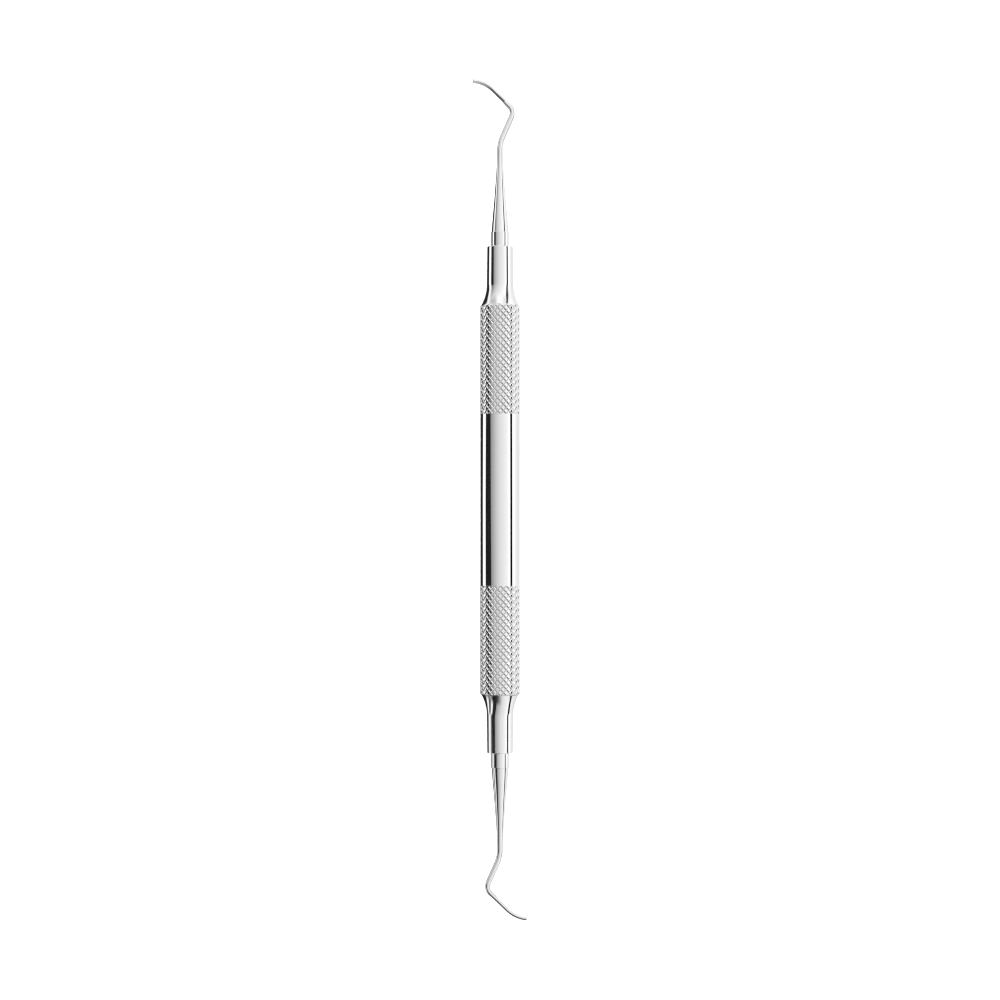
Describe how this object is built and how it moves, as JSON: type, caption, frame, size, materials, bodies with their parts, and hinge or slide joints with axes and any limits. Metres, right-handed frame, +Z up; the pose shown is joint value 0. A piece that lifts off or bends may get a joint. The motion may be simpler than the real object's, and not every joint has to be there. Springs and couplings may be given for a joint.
{
  "type": "hand scaler",
  "caption": "Double-ended steel dental hand scaler: hollow knurled grip, turned end plugs, and a bent shank with a curette blade at each end.",
  "frame": {"origin": "middle of the handle, on the handle's axis", "axes": "+Y along the handle towards the upper working end; +Z up as the instrument lies on a tray with both blades sideways; +X towards the side that the upper shank first bends to"},
  "size_m": [0.011, 0.1702, 0.008],
  "materials": {
    "knurled_steel": "bright rolled diamond knurl on a mirror-polished stainless steel tube",
    "polished_steel": "mirror-polished turned stainless steel",
    "blade_steel": "polished hardened stainless steel, ground blade face",
    "solder": "satin silver solder"
  },
  "bodies": {
    "root": {"handle_tube": "knurled_steel", "upper_end_plug": "polished_steel", "upper_solder_ring": "solder", "upper_working_end": "blade_steel", "lower_end_plug": "polished_steel", "lower_solder_ring": "solder", "lower_working_end": "blade_steel"}
  },
  "joints": []
}
